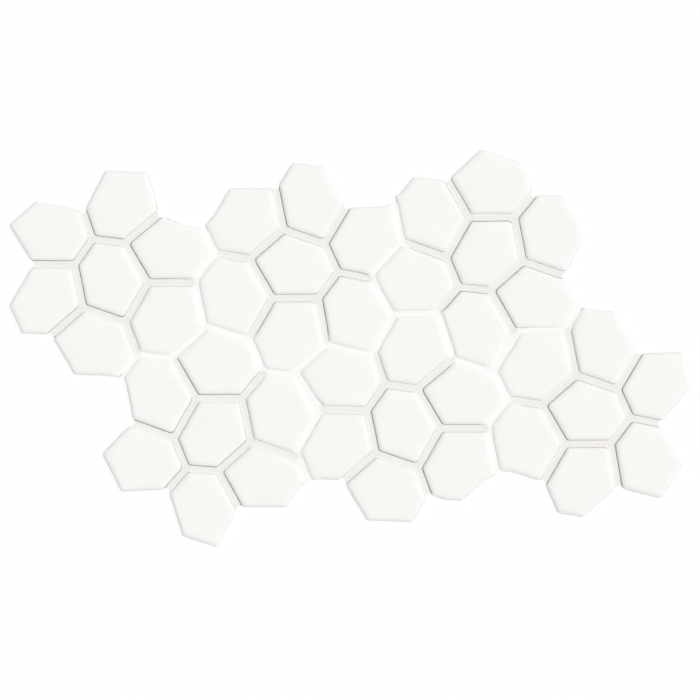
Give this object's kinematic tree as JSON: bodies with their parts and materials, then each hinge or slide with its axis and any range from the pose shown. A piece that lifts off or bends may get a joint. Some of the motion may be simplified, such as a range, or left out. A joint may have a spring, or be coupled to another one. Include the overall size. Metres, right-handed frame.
{
  "type": "interlocking relief porcelain tile",
  "caption": "Glazed porcelain wall and floor tile with a relief of irregular hexagon cells, recessed joints and a stepped outline that interlocks with its neighbours.",
  "frame": {"origin": "centre of the bounding box, on the back face", "axes": "+X along the rows of cells, +Y up the face, +Z out of the glazed face"},
  "size_m": [0.6546, 0.37, 0.0095],
  "materials": {
    "porcelain": "satin"
  },
  "bodies": {
    "root": {"tile": "porcelain"}
  },
  "joints": []
}
